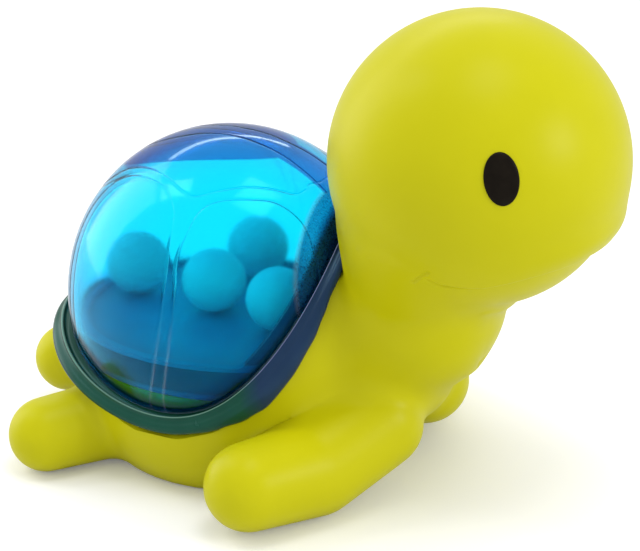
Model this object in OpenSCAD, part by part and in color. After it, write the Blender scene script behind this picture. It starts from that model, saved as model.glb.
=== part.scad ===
// Squeaky bath toy: a soft vinyl sea turtle whose clear domed shell holds loose rattle balls.
// +X runs to the nose, +Y to the turtle's left and +Z up. The origin is on the floor, under the
// middle of the toy's length.

/* [Overall] */
// Length from the tip of the tail to the front of the head
overall_l = 116; // [108:1:124]
// Wall of the soft vinyl skin
skin_wall = 1.6; // [1.2:0.1:2]
// Gap left between pieces that lie against each other
seat_gap = 0.2; // [0.1:0.05:0.3]

/* [Head] */
// Radius of the round head
head_r = 26; // [24:0.5:27]
// Height of the middle of the head
head_z = 61; // [58:0.5:64]
// How far the lower jaw is set back under the lip
jaw_step = 1.4; // [0.8:0.1:1.8]
// Height of the mouth line below the middle of the head, at the cheeks
mouth_drop = 17.2; // [15:0.2:18]
// Rise of the mouth line towards the front, in degrees
mouth_slope = 13; // [10:1:16]
// Width of an eye
eye_w = 5.8; // [4.5:0.1:7]
// Height of an eye
eye_h = 8.8; // [7:0.1:10]
// Turn of an eye from straight ahead, in degrees
eye_turn = 60; // [50:1:66]
// Rise of an eye above the middle of the head, in degrees
eye_rise = 12.5; // [8:0.5:18]
// Lean of an eye towards the front at its top, in degrees
eye_lean = 6; // [0:1:12]
// Thickness of the black eye inlay
eye_t = 0.3; // [0.2:0.05:0.4]

/* [Neck and trunk] */
// Distance of the neck's foot in front of the shell's middle
neck_foot_x = 20; // [17:0.5:23]
// Height of the neck's foot
neck_foot_z = 20; // [18:0.5:22]
// Radius of the neck at its foot
neck_foot_r = 15.2; // [14:0.2:16.4]
// Distance of the neck's top behind the middle of the head
neck_top_back = 12; // [10:0.5:14]
// Height of the neck's top
neck_top_z = 33.5; // [31:0.5:36]
// Radius of the neck at its top
neck_top_r = 16; // [15:0.2:17]
// Length of the trunk
trunk_l = 58; // [54:1:61]
// Width of the trunk
trunk_w = 55.6; // [53:0.2:57]
// Height of the trunk's widest level above the floor
trunk_z = 12.4; // [11:0.2:14]
// Rise of the trunk above its widest level
trunk_rise = 21; // [19:0.5:22]

/* [Flippers and tail] */
// Distance of a front flipper's root in front of the shell's middle
front_root_x = 32.5; // [30:0.5:34]
// Distance of a front flipper's tip in front of the shell's middle
front_tip_x = 18.6; // [14:0.5:22]
// Distance of a front flipper's root from the middle plane
front_root_y = 10.5; // [9:0.5:13]
// Distance of a front flipper's tip centre from the middle plane
front_tip_y = 33.5; // [31:0.5:36]
// Radius of a front flipper at its root
front_root_r = 8.2; // [7:0.2:9.4]
// Radius of a front flipper at the middle of its length
front_mid_r = 8.5; // [7.9:0.2:9.1]
// Radius of a front flipper at its tip
front_tip_r = 7.8; // [7:0.2:8.6]
// Lift of a front flipper's tip above the floor
front_tip_lift = 0.9; // [0:0.1:1.8]
// Height of a front flipper's root
front_root_z = 13.5; // [12:0.5:15]
// Distance of a rear flipper's root behind the shell's middle
rear_root_x = 15.5; // [13:0.5:18]
// Distance of a rear flipper's tip behind the shell's middle
rear_tip_x = 26.3; // [24:0.5:29]
// Distance of a rear flipper's root from the middle plane
rear_root_y = 12.2; // [10:0.5:15]
// Distance of a rear flipper's tip centre from the middle plane
rear_tip_y = 25.9; // [23:0.5:28]
// Radius of a rear flipper at its root
rear_root_r = 7.4; // [6.6:0.2:8]
// Radius of a rear flipper at its tip
rear_tip_r = 6.8; // [6:0.2:7.4]
// Distance of the tail's root behind the shell's middle
tail_root_x = 23; // [20:0.5:26]
// Height of the tail's root
tail_root_z = 14; // [12:0.5:16]
// Height of the tail's tip
tail_tip_z = 9.9; // [8.5:0.5:12]
// Radius of the tail
tail_r = 6.4; // [5.4:0.2:7]

/* [Shell] */
// Distance of the shell's middle behind the middle of the toy
shell_back = 15; // [13:0.5:17]
// Height of the shell's middle above the floor
shell_z = 27.7; // [26:0.5:29]
// Half length of the domed shell
shell_a = 31.7; // [30:0.2:33]
// Half width of the domed shell
shell_b = 28; // [27:0.2:29]
// Height of the dome above the shell's middle
shell_h = 32.6; // [30:0.2:34]
// Upward tilt of the shell towards the head, in degrees
shell_tilt = 16.4; // [12:0.2:20]
// Wall of the clear dome
dome_wall = 1.8; // [1.4:0.1:2.2]
// Where the dome's foot lies at the neck, in degrees above the shell's middle
foot_front_deg = 23.5; // [20:0.5:25]
// Where the dome's foot lies at the tail, in degrees above the shell's middle
foot_rear_deg = 11; // [8:0.5:15]
// Sideways sharpening of the foot's rise towards the neck, in degrees
foot_skew_deg = 1.5; // [0:0.5:3]
// Where the dome's foot lies at the flanks, in degrees above the shell's middle
foot_side_deg = -21; // [-24:1:-18]
// How far the rim bead stands out from the dome
rim_out = 2.9; // [2.4:0.1:3.4]
// Height of the rim bead
rim_h = 5; // [4:0.2:6]
// Height of the thin ridge on the rim bead's inner edge
rim_ridge = 1.1; // [0.8:0.1:1.4]

/* [Rattle] */
// Diameter of a rattle ball
ball_d = 11.5; // [10:0.1:12]
// Air left under a ball that lies on the floor
ball_gap = 0.15; // [0.1:0.05:0.3]
// Height of the rattle floor above the table
rattle_floor_z = 25.4; // [24:0.2:27]
// Thickness of the rattle floor
rattle_floor_t = 1.6; // [1.2:0.1:2]
// Wall of the tub
tub_wall = 1.4; // [1:0.1:1.6]
// Depth of the tub from the floor's top to its lower edge
tub_band = 5; // [4:0.2:6]
// Height of the kerb round the rattle floor
kerb_h = 0.5; // [0.3:0.1:0.8]
// Height of the vinyl lip above the dome's foot
lip_up = 2.6; // [2:0.1:3.4]

/* [Squeaker] */
// Outer radius of the squeaker's cup
cup_r = 7; // [6.4:0.1:7.6]
// Length of the squeaker's cup
cup_l = 10; // [9:0.2:11]
// Wall of the squeaker's cup
cup_wall = 1.2; // [1:0.1:1.4]
// How far the cup's flange stands out from the cup
flange_out = 2.2; // [1.8:0.1:2.6]
// Thickness of the cup's flange
flange_t = 0.9; // [0.7:0.1:1.1]
// How far the flange is sunk above the floor
flange_lift = 0.6; // [0.4:0.1:0.8]
// Radius of the sound hole
sound_hole_r = 1.6; // [1.2:0.1:2]
// Height of the reed
reed_l = 5.5; // [4.8:0.1:6]
// Width of the reed
reed_w = 3.4; // [3:0.1:4]
// Thickness of the reed
reed_t = 0.3; // [0.25:0.05:0.4]
// Gap between the reed and the shoe that it beats on
reed_gap = 0.1; // [0.05:0.05:0.15]

/* [Hidden] */

shell_x = -shell_back;
head_x = overall_l / 2 - head_r;
tail_tip_x = -overall_l / 2 + tail_r;
head_at = [head_x, 0, head_z];
big = overall_l;

// Facets of round shapes, and stations round the shell's foot on the fine and the plain pieces
round_fn = 48;
skin_fn = 36;
limb_fn = 20;
fine_stations = 72;
plain_stations = 36;

// The dome's foot runs low at the flanks and high at the neck and tail
foot_mean = (foot_front_deg + foot_rear_deg) / 4 + foot_side_deg / 2;
foot_swing = (foot_front_deg + foot_rear_deg) / 4 - foot_side_deg / 2;
foot_lean = (foot_front_deg - foot_rear_deg) / 2 - foot_skew_deg;

// Lip of the skin, inside the dome's foot
lip_out = -(dome_wall + seat_gap);
lip_in = lip_out - skin_wall;
tub_out = lip_in - seat_gap;
tub_in = tub_out - tub_wall;
// The skin's bulge under the rim, and the clear space kept round the rim
seat_out = skin_wall / 2;
pocket_out = rim_out + seat_gap;
pocket_down = rim_h + seat_gap;

// Squeaker levels, from the floor upwards
flange_z = flange_lift;
seat_z = flange_z + flange_t + seat_gap;
pad_top_z = seat_z + skin_wall;
cup_top_z = flange_z + cup_l;
squeaker_x = shell_x;
bore_r = cup_r - cup_wall;

// A point at the bearing a and the rise p on the egg that lies out from the dome's outer face
function egg_point(a, p, out) =
    [(shell_a + out) * cos(p) * cos(a), (shell_b + out) * cos(p) * sin(a), (shell_h + out) * sin(p)];

// Rise of the dome's foot at the bearing a, and a point on the egg that lies down from the foot
function foot_angle(a) =
    foot_mean + foot_swing * cos(2 * a) + foot_lean * cos(a) + foot_skew_deg * cos(3 * a);
function down_angle(a, down) = foot_angle(a) - down / shell_h * 180 / PI;
function on_shell(a, out, down) = egg_point(a, down_angle(a, down), out);

// Rise at which the egg that lies out from the dome's outer face crosses the level z
function level_angle(a, out, z) =
    let (along = (shell_a + out) * sin(shell_tilt) * cos(a), up = (shell_h + out) * cos(shell_tilt))
    atan2(up, along) - acos((z - shell_z) / norm([along, up]));

// The middle of the level z, seen from the tilted shell
function level_middle(z) = [(z - shell_z) * sin(shell_tilt), 0, (z - shell_z) * cos(shell_tilt)];

module in_shell() {
    translate([shell_x, 0, shell_z]) rotate([0, -shell_tilt, 0]) children();
}

// The egg of the shell, grown or shrunk from the dome's outer face
module egg(out, facets = fine_stations) {
    scale([shell_a + out, shell_b + out, shell_h + out]) sphere(1, $fn = facets);
}

// All that lies below the dome's foot, moved down along the shell by down
module below_foot(down, stations = fine_stations) {
    reach = shell_b / 2;
    deep = 2 * shell_h;
    bearings = [for (i = [0 : stations - 1]) i * 360 / stations];
    inner = [for (a = bearings) on_shell(a, -reach, down)];
    outer = [for (a = bearings) on_shell(a, reach, down)];
    points = concat(inner, outer, [for (p = outer) [p.x, p.y, -deep]], [[0, 0, 0], [0, 0, -deep]]);
    centre = 3 * stations;
    faces = [for (i = [0 : stations - 1]) let (j = (i + 1) % stations) each [
        [centre, j, i],
        [i, j, j + stations],
        [i, j + stations, i + stations],
        [i + stations, j + stations, j + 2 * stations],
        [i + stations, j + 2 * stations, i + 2 * stations],
        [centre + 1, i + 2 * stations, j + 2 * stations]]];
    polyhedron(points, faces);
}

// A ring swept round the shell's foot, its section given as [out, down] pairs
module foot_ring(section) {
    m = len(section);
    stations = fine_stations;
    bearings = [for (i = [0 : stations - 1]) i * 360 / stations];
    points = [for (a = bearings) for (s = section) on_shell(a, s[0], s[1])];
    faces = [for (i = [0 : stations - 1]) for (k = [0 : m - 1])
        let (j = (i + 1) % stations, n = (k + 1) % m) each [
        [i * m + k, j * m + n, i * m + n],
        [i * m + k, j * m + k, j * m + n]]];
    polyhedron(points, faces);
}

// Round head whose lower part, below the mouth line, is set back by the step of the jaw
module head_form(inset) {
    translate(head_at) intersection() {
        sphere(head_r - inset, $fn = skin_fn);
        union() {
            translate([-jaw_step, 0, 0]) sphere(head_r - inset, $fn = skin_fn);
            translate([0, 0, -mouth_drop]) rotate([0, -mouth_slope, 0])
                translate([-2 * head_r, -2 * head_r, 0]) cube(4 * head_r);
        }
    }
}

module neck_form(inset) {
    hull() {
        translate([shell_x + neck_foot_x, 0, neck_foot_z]) sphere(neck_foot_r - inset, $fn = skin_fn);
        translate([head_x - neck_top_back, 0, neck_top_z]) sphere(neck_top_r - inset, $fn = skin_fn);
    }
}

module trunk_form(inset) {
    translate([shell_x, 0, trunk_z])
        scale([trunk_l / 2 - inset, trunk_w / 2 - inset, trunk_rise - inset])
            sphere(1, $fn = skin_fn);
}

// A flipper as two blended lengths, given as [place, radius] from root to tip
module flipper(stops, inset) {
    for (i = [0 : len(stops) - 2])
        hull() for (s = [stops[i], stops[i + 1]])
            translate(s[0]) sphere(s[1] - inset, $fn = limb_fn);
}

front_root = [shell_x + front_root_x, front_root_y, front_root_z];
front_tip = [shell_x + front_tip_x, front_tip_y, front_tip_r + front_tip_lift];
front_mid = [(front_root.x + front_tip.x) / 2, (front_root.y + front_tip.y) / 2, front_mid_r];
rear_root = [shell_x - rear_root_x, rear_root_y, rear_root_r];
rear_tip = [shell_x - rear_tip_x, rear_tip_y, rear_tip_r];

module limbs(inset) {
    for (side = [0, 1]) mirror([0, side, 0]) {
        flipper([[front_root, front_root_r], [front_mid, front_mid_r], [front_tip, front_tip_r]], inset);
        flipper([[rear_root, rear_root_r], [rear_tip, rear_tip_r]], inset);
    }
    flipper([[[shell_x - tail_root_x, 0, tail_root_z], tail_r], [[tail_tip_x, 0, tail_tip_z], tail_r]], inset);
}

// The whole outside form of the skin, or the hollow inside it
module skin_form(inset) {
    intersection() {
        union() {
            head_form(inset);
            neck_form(inset);
            trunk_form(inset);
            in_shell() egg(seat_out - inset, skin_fn);
            limbs(inset);
        }
        translate([-big, -big, inset]) cube([2 * big, 2 * big, big]);
    }
}

module skin_hollow() {
    difference() {
        skin_form(skin_wall);
        in_shell() difference() {
            egg(pocket_out + skin_wall, skin_fn);
            below_foot(pocket_down + skin_wall, plain_stations);
        }
        translate([squeaker_x, 0, 0])
            cylinder(h = pad_top_z, r = cup_r + flange_out + skin_wall, $fn = skin_fn);
    }
}

module body_skin() {
    color("#d8d636") difference() {
        union() {
            difference() {
                skin_form(0);
                in_shell() difference() {
                    egg(pocket_out, skin_fn);
                    below_foot(pocket_down, plain_stations);
                }
            }
            in_shell() difference() {
                intersection() {
                    egg(lip_out, skin_fn);
                    below_foot(-lip_up, plain_stations);
                }
                below_foot(pocket_down + skin_wall / 2, plain_stations);
            }
        }
        skin_hollow();
        intersection() {
            in_shell() egg(lip_in, skin_fn);
            translate([-big, -big, pad_top_z + seat_gap]) cube([2 * big, 2 * big, big]);
        }
        translate([squeaker_x, 0, -seat_gap]) {
            cylinder(h = seat_z + seat_gap, r = cup_r + flange_out + seat_gap, $fn = skin_fn);
            cylinder(h = 2 * pad_top_z, r = cup_r + seat_gap / 2, $fn = skin_fn);
        }
    }
}

// Rings of an eye from its middle outwards, as [share of its size, share of its thickness]
eye_shares = [[0.25, 1], [0.5, 1], [0.75, 1], [0.93, 1], [0.99, 0.75], [1, 0.3]];

// A point of an eye, straight ahead of the head's middle, lift above the round of the head
function eye_point(a, share, lift) =
    let (y = share * eye_w / 2 * cos(a), z = share * eye_h / 2 * sin(a), r = head_r + lift)
    [sqrt(r * r - y * y - z * z), y, z];

// A thin oval with a soft edge that lies on the round of the head
module eye(side) {
    seat = seat_gap / 10;
    n = round_fn;
    rings = len(eye_shares);
    bearings = [for (i = [0 : n - 1]) i * 360 / n];
    front = [for (s = eye_shares) for (a = bearings) eye_point(a, s[0], seat + s[1] * eye_t)];
    back = [for (s = eye_shares) for (a = bearings) eye_point(a, s[0], seat)];
    points = concat(front, back, [eye_point(0, 0, seat + eye_t), eye_point(0, 0, seat)]);
    middle = 2 * rings * n;
    last = (rings - 1) * n;
    faces = [for (i = [0 : n - 1]) let (j = (i + 1) % n) each concat(
        [[middle, j, i], [middle + 1, i + rings * n, j + rings * n]],
        [for (k = [0 : rings - 2]) for (t = [[i + k * n, j + k * n, j + (k + 1) * n],
            [i + k * n, j + (k + 1) * n, i + (k + 1) * n]]) t],
        [for (k = [rings : 2 * rings - 2]) for (t = [[i + k * n, j + (k + 1) * n, j + k * n],
            [i + k * n, i + (k + 1) * n, j + (k + 1) * n]]) t],
        [[i + last, j + last, j + last + rings * n], [i + last, j + last + rings * n, i + last + rings * n]])];
    color("#1c1810") translate(head_at) rotate([0, 0, side * eye_turn]) rotate([0, -eye_rise, 0])
        rotate([-side * eye_lean, 0, 0]) polyhedron(points, faces);
}

module shell_dome() {
    color("#1ea8dc", 0.45) in_shell() difference() {
        egg(0);
        egg(-dome_wall);
        below_foot(0);
    }
}

// Sections of the rim's ridge and bead, as shares of their standing out and of their heights
ridge_shares = [[0.1, 0.7], [0.22, 1], [0.42, 0.7]];
bead_shares = [[0.62, 0.06], [0.9, 0.28], [1, 0.55], [0.88, 0.8], [0.58, 0.96], [0.2, 1]];

// Rounded bead with a thin ridge beside the dome, and a ledge under the dome's foot
module shell_rim() {
    section = concat(
        [[-dome_wall, seat_gap], [ridge_shares[0][0] * rim_out, seat_gap]],
        [for (s = ridge_shares) [s[0] * rim_out, -s[1] * rim_ridge]],
        [for (s = bead_shares) [s[0] * rim_out, s[1] * rim_h]],
        [[-dome_wall, rim_h]]);
    color("#2a5a4c", 0.8) in_shell() foot_ring(section);
}

// Tub that closes the shell from below: a wall inside the skin's lip, which stops at a kerb where
// the lip lies low, and a level floor for the balls
module rattle_tub() {
    n = fine_stations;
    steps = 6;
    bearings = [for (i = [0 : n - 1]) i * 360 / n];
    floor_under_z = rattle_floor_z - rattle_floor_t;
    low_z = rattle_floor_z - tub_band;
    section = [for (a = bearings) let (
        top = max(level_angle(a, tub_out, rattle_floor_z + kerb_h), down_angle(a, -lip_up - seat_gap)),
        low = level_angle(a, tub_out, low_z),
        floor_top = level_angle(a, tub_in, rattle_floor_z)) concat(
        [egg_point(a, level_angle(a, tub_in, floor_under_z), tub_in),
            egg_point(a, level_angle(a, tub_in, low_z), tub_in)],
        [for (k = [0 : steps]) egg_point(a, low + (top - low) * k / steps, tub_out)],
        [for (k = [0 : steps]) egg_point(a, top + (floor_top - top) * k / steps, tub_in)])];
    m = len(section[0]);
    points = concat([for (s = section) each s], [level_middle(floor_under_z), level_middle(rattle_floor_z)]);
    faces = [for (i = [0 : n - 1]) let (j = (i + 1) % n) each concat(
        [[n * m, i * m, j * m], [n * m + 1, j * m + m - 1, i * m + m - 1]],
        [for (k = [0 : m - 2]) for (t = [[i * m + k, i * m + k + 1, j * m + k + 1],
            [i * m + k, j * m + k + 1, j * m + k]]) t])];
    color("#1c6aa0", 0.8) in_shell() polyhedron(points, faces);
}

// Places of the balls on the floor, as shares of the shell's half length and half width
ball_shares = [[-0.68, 0.04], [-0.13, -0.04], [-0.14, 0.62], [0.33, -0.165]];

module rattle_ball(i) {
    color("#d8f2fa")
        translate([shell_x + ball_shares[i][0] * shell_a, ball_shares[i][1] * shell_b,
            rattle_floor_z + ball_gap + ball_d / 2]) sphere(d = ball_d, $fn = round_fn);
}

// Cup that stands in the hole in the belly, with a flange outside the skin and a snap ring inside
module squeaker_cup() {
    color("#e8e8e2") translate([squeaker_x, 0, 0]) difference() {
        union() {
            translate([0, 0, flange_z]) cylinder(h = flange_t, r = cup_r + flange_out, $fn = round_fn);
            translate([0, 0, flange_z]) cylinder(h = cup_l, r = cup_r, $fn = round_fn);
            translate([0, 0, pad_top_z + seat_gap])
                cylinder(h = flange_t, r = cup_r + cup_wall, $fn = round_fn);
        }
        translate([0, 0, flange_z + flange_t]) cylinder(h = cup_l, r = bore_r, $fn = round_fn);
        translate([0, 0, -flange_z]) cylinder(h = cup_l, r = sound_hole_r, $fn = round_fn);
    }
}

// Half tube of the shoe and its slot, as shares of the reed's width
tube_share = 0.8;
slot_share = 0.6;
shoe_base_z = flange_z + flange_t;

// Disc with an upright half tube, on whose flat side the reed beats
module squeaker_shoe() {
    shoe_r = bore_r - seat_gap / 4;
    tube_r = tube_share * reed_w;
    slot_w = slot_share * reed_w;
    color("#f2f0e8") translate([squeaker_x, 0, shoe_base_z]) difference() {
        union() {
            cylinder(h = flange_t, r = shoe_r, $fn = round_fn);
            difference() {
                cylinder(h = flange_t + reed_l, r = tube_r, $fn = round_fn);
                translate([0, -tube_r, flange_t]) cube([tube_r, 2 * tube_r, 2 * reed_l]);
            }
        }
        translate([-slot_w / 2, -slot_w / 2, -flange_t]) cube([slot_w, slot_w, reed_l + flange_t]);
    }
}

module squeaker_reed() {
    color("#c8d8e0")
        translate([squeaker_x + reed_gap, -reed_w / 2, shoe_base_z + flange_t + reed_gap])
            cube([reed_t, reed_w, reed_l]);
}

module squeaker_cap() {
    vents = 4;
    color("#e8e8e2") translate([squeaker_x, 0, cup_top_z]) difference() {
        union() {
            cylinder(h = flange_t, r = cup_r, $fn = round_fn);
            translate([0, 0, -flange_t]) cylinder(h = flange_t, r = bore_r - seat_gap / 4, $fn = round_fn);
        }
        for (i = [0 : vents - 1]) rotate([0, 0, i * 360 / vents])
            translate([bore_r / 2, 0, -2 * flange_t]) cylinder(h = 4 * flange_t, r = bore_r / 5, $fn = round_fn);
    }
}

body_skin();
eye(1);  // eye_left
eye(-1);  // eye_right
shell_dome();
shell_rim();
rattle_tub();
rattle_ball(0);  // rattle_ball_1
rattle_ball(1);  // rattle_ball_2
rattle_ball(2);  // rattle_ball_3
rattle_ball(3);  // rattle_ball_4
squeaker_cup();
squeaker_shoe();
squeaker_reed();
squeaker_cap();
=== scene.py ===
"""Squeaky bath toy: a soft vinyl sea turtle with a clear blue shell over loose rattle balls."""
import math
from contextlib import contextmanager

import bpy
from mathutils import Matrix, Vector, kdtree


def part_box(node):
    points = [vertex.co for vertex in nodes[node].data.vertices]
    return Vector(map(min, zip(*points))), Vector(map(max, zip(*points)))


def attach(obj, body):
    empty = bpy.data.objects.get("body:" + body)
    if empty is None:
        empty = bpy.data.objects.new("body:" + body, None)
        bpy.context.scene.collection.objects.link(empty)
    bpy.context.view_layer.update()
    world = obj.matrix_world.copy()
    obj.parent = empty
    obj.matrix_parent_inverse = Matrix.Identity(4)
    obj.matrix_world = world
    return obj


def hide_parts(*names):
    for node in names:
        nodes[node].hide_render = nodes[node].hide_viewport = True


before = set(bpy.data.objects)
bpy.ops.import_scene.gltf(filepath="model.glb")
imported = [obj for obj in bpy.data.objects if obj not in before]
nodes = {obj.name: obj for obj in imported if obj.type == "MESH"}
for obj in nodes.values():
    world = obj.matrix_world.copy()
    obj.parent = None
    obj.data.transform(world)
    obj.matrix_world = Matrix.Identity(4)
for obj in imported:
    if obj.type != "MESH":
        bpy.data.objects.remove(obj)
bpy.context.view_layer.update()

MM = 0.001

# Sizes shared with the part's source, in millimetres and degrees
HEAD_MIDDLE = Vector((32, 0, 61))
HEAD_R = 26
SHELL_MIDDLE = Vector((-15, 0, 27.7))
SHELL_HALF = Vector((31.7, 28, 32.6))
SHELL_TILT = 16.4
DOME_WALL = 1.8
SKIN_WALL = 1.6
SEAT_GAP = 0.2
LIP_OUT = -(DOME_WALL + SEAT_GAP)
LIP_IN = LIP_OUT - SKIN_WALL
TUB_WALL = 1.4
TUB_UP = 2.8
TUB_UP_TAIL = 0.4
TUB_BAND = 6
FLOOR_Z = 25.4
FLOOR_T = 1.6
KERB_H = 0.5
BALL_R = 5.75
SQUEAKER_X = -15

# Rise of the dome's foot in degrees: its mean, and its waves that run once, twice and three times round
FOOT_MEAN = -1.875
FOOT_WAVES = (4.75, 19.125, 1.5)

# The skin's forms: rounds as (middle, radius), ovals as (middle, half sizes), and the near side's flippers
NECK = [((5, 0, 20), 15.6), ((20.3, 0, 33.5), 16.3)]
NECK_OVAL = ((23.2, 0, 40), (15.3, 17.6, 10))
CHIN_OVAL = ((35.5, 0, 38.5), (5.3, 11, 5.3))
CHEST = ((15.3, 0, 21.4), 12.3)
TRUNK_OVAL = ((-15, 0, 12.4), (29, 27.8, 21))
SHELL_SEAT_OUT = 0.8
FRONT_FLIPPER = [((17.5, 10.5, 13.5), 8.2), ((10.55, 22, 8.5), 8.5), ((3.6, 33.5, 8.7), 7.8)]
REAR_FLIPPER = [((-30.5, 12.2, 7.4), 7.4), ((-41.3, 25.9, 6.8), 6.8)]
TAIL = [((-38, 0, 14), 6.4), ((-51.6, 0, 9.9), 6.4)]

# Rings of the collar that carries the round of the head into the neck: (middle, half length, half width)
COLLAR = [((23.2, 0, 37.1), 14.7, 16.9), ((29.5, 0, 48.9), 21.4, 23), ((32, 0, 56), 25.3, 25.3)]

# The skin's grain, how often its folds are filled, and how much less they are filled under the chin
SKIN_GRAIN, SKIN_GRAIN_QUICK = 0.6, 0.75
FOLD_ROUNDS = 8
FOLD_SWEEPS, FOLD_SWEEPS_QUICK = 30, 16
CHIN_SPARED = 0.2
CHIN_NEAR_HEAD = (4, 0.5)
CHIN_FORWARD = (30, 41)
BELLY_UP = 0.05

# The bottom of the shell's pocket in degrees below the middle, and the least height of the lip in radians
POCKET_BOTTOM = 62
LIP_LEAST = 0.001

# The squeaker's holes in the belly: (radius, depth, height of the middle)
BELLY_HOLES = [(9.4, 3.4, 0), (7.1, 20, 5)]

# Points closer than this are one, and slivers thinner than this are dissolved
ONE_POINT = 1e-4
SLIVER = 0.004

# The mouth line on one side: (turn from straight ahead, rise), in degrees
MOUTH_LINE = [(0, -27), (16, -27.5), (26.4, -28.8), (36.5, -29.8), (45.6, -31.3), (54.1, -33.4),
              (66.3, -36.3), (76.2, -36.1), (86.1, -34.8), (91.8, -31.6)]
MOUTH_END = 92
MOUTH_END_SOFT = (92.5, 80)
MOUTH_END_DEPTH = 0.35
MOUTH_DEPTH = 0.52
MOUTH_WIDTH = 0.30

# The mark across each end of the smile, in degrees: its start, how far it runs, and its share of the depth
CHEEK_MARK = (97.7, -34.3)
CHEEK_MARK_RUN = (-8.5, 6.1)
CHEEK_MARK_DEPTH = 0.55

# The face: how near the smile its faces are divided, how thick its skin is taken to be, the jaw and the lip
SMILE_REACH = 1.6
FACE_T = 0.7
JAW_BACK = 1.15
JAW_ENDS = (95, 45)
JAW_SOFT = 0.35
LIP_SWELL = 0.55
LIP_ENDS = (70, 20)
LIP_ABOVE = 3.2
LIP_SOFT = 2.6

# An eye: where it lies on the head in degrees, its half sizes, and its edge as (share of the way out, lift)
EYE_TURN, EYE_RISE, EYE_LEAN = 60, 12.5, 6
EYE_HALF = (2.9, 4.4)
EYE_T = 0.3
EYE_OFF = 0.02
EYE_SUNK = -1.5
EYE_EDGE = [(0, 1), (0.3, 1), (0.6, 1), (0.82, 1), (0.93, 0.95), (0.975, 0.7), (1.0, 0.25)]

# The rim: its plain height, how far it stands out, and how much farther at the tail, with the cosines between
RIM_H = 3.9
RIM_OUT = 2.9
RIM_TAIL_OUT = 1.0
RIM_TAIL_COSINES = (-0.3, -0.95)

# The rim's section: (out from the dome, down from its foot), and which of its points is the ridge's crest
RIM_SECTION = [(-DOME_WALL, SEAT_GAP), (0.25, SEAT_GAP), (0.75, 0.35), (0.98, 0.1), (1.12, -0.38),
               (1.3, -0.52), (1.48, -0.38), (1.6, 0.05), (1.95, 0.5), (2.5, 0.9), (2.9, 1.7), (2.85, 2.6),
               (2.3, 3.4), (1.2, 3.85), (-DOME_WALL, RIM_H)]
RIM_CREST = 5
RIM_STEPS = 6
# Steps round the crest over which the painted highlight along the ridge rises and falls
RIM_RIDGE_HIGHLIGHT_STEPS = (-7, -3, 3, 6)
# Where the rim's colour turns from teal to the navy of painted shade, in millimetres along the shell towards
# the neck
RIM_NAVY_FROM = (11.5, 15.5)

# The gap between the shell and its pocket in the skin
POCKET_GAP = 0.08

# The rim's height: (bearing from the neck in degrees, height)
RIM_HEIGHTS = [(0, 2.6), (20, 2.4), (32, 3.0), (37, 4.0), (42, 5.0), (52, 5.9), (61, 6.1), (68, 5.2),
               (78, 3.8), (90, 2.95), (180, 2.95)]

# Finishes of the dome in the shell's own place: the frosted front end, and a painted dark reflection in an
# oval on the crown and a strip in front of it
FROST_FROM = 25.8
FROST_BOW = 0.0074
FROST_SOFT = 0.3
FROST_TOP = (19.5, 18.0)
CROWN_MIDDLE = 3
CROWN_REACH = 17
CROWN_BREADTH = 11
CROWN_FOOT = (4, 8)
CROWN_STRIP = 4
CROWN_STRIP_SOFT = 0.2
CROWN_STRIP_FROM = (8, 12)

# Lines between the scutes, on one side: (share of the half length, turn round the long axis in degrees)
SCUTE_LINES = [
    [(0.79, 0), (0.785, -8), (0.757, -16.6), (0.756, -20.5), (0.726, -26.7), (0.642, -29.1), (0.52, -31.9),
     (0.379, -36), (0.261, -38.7), (0.192, -37.1), (0.071, -30.9), (-0.082, -24.9), (-0.265, -20.1),
     (-0.42, -18), (-0.55, -14), (-0.62, -7), (-0.64, 0)],
    [(-0.235, -110), (-0.205, -104.2), (-0.086, -92.6), (-0.004, -83.2), (0.064, -72.7), (0.109, -63.7),
     (0.138, -54.2), (0.148, -45.6), (0.117, -39.6), (0.040, -33.6), (-0.149, -27.0), (-0.313, -24.4),
     (-0.42, -25), (-0.54, -29), (-0.64, -38), (-0.71, -52), (-0.76, -70), (-0.79, -90), (-0.80, -100)],
    [(-0.145, -110), (-0.113, -104.2), (-0.037, -96.2), (0.034, -88.3), (0.097, -79.2), (0.144, -70.1),
     (0.172, -60.8), (0.241, -50.8), (0.300, -44.0), (0.389, -40.1), (0.532, -37.4), (0.654, -35.4),
     (0.744, -38.3), (0.795, -44.7), (0.82, -55), (0.83, -70), (0.80, -90)],
    [(-0.394, 0), (-0.284, -2.1), (-0.158, -5.4), (0.0, -6.4), (0.158, -5.2), (0.315, -4.95), (0.473, -5.8),
     (0.60, -6.9), (0.741, -10), (0.82, -12.7)],
]
SCUTE_STEPS = 24
GROOVE_DEPTH, GROOVE_WIDTH = 0.10, 0.17
SAG_DEPTH, SAG_WIDTH = 0.05, 1.6
# A painted highlight as a light line along the grooves: its strength and width, and the soft limits of where
# it shows, low down and back from the front
GROOVE_PAINTED_GLEAM, GROOVE_PAINTED_GLEAM_WIDTH = 0.5, 0.22
PAINTED_GLEAM_LOW = (6, -2)
PAINTED_GLEAM_BACK = (10, 5)

# Zones beside the grooves in which the dome's faces are divided: (cuts, reach)
GROOVE_ZONES = [(3, 0.8), (1, 0.33)]

# The tub's wall is low at the tail and high at the neck, with a smooth change between these cosines
TUB_COSINES = (-0.6, 0.6)

# The thin line where the two halves of a rattle ball meet
SEAM_UP = 0.06
SEAM_HALF = 0.05

# The floor in metres, just under the toy
FLOOR_PLATE_R = 0.8
FLOOR_PLATE_Z = -0.00005

# Lamps: the way towards each, its size, its brightness against a white wall, and the way its first side runs
LAMPS = {
    "softbox_over": ((0.17, -0.08, 0.97), (0.28, 0.36), 4.0, None),
    "softbox_nose": ((0.93, 0.0, 0.36), (0.24, 0.24), 9.0, None),
    "softbox_tail": ((-0.58, -0.14, 0.80), (0.22, 0.16), 4.5, None),
    "softbox_left": ((-0.95, 0.05, 0.34), (0.70, 0.48), 1.9, None),
    "strip_behind": ((-0.461, 0.667, 0.584), (0.70, 0.04), 8.0, (0.57, 0.56, -0.19)),
}
LAMP_AIM = Vector((0, 0, 0.04))
LAMP_AWAY = 0.8

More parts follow.
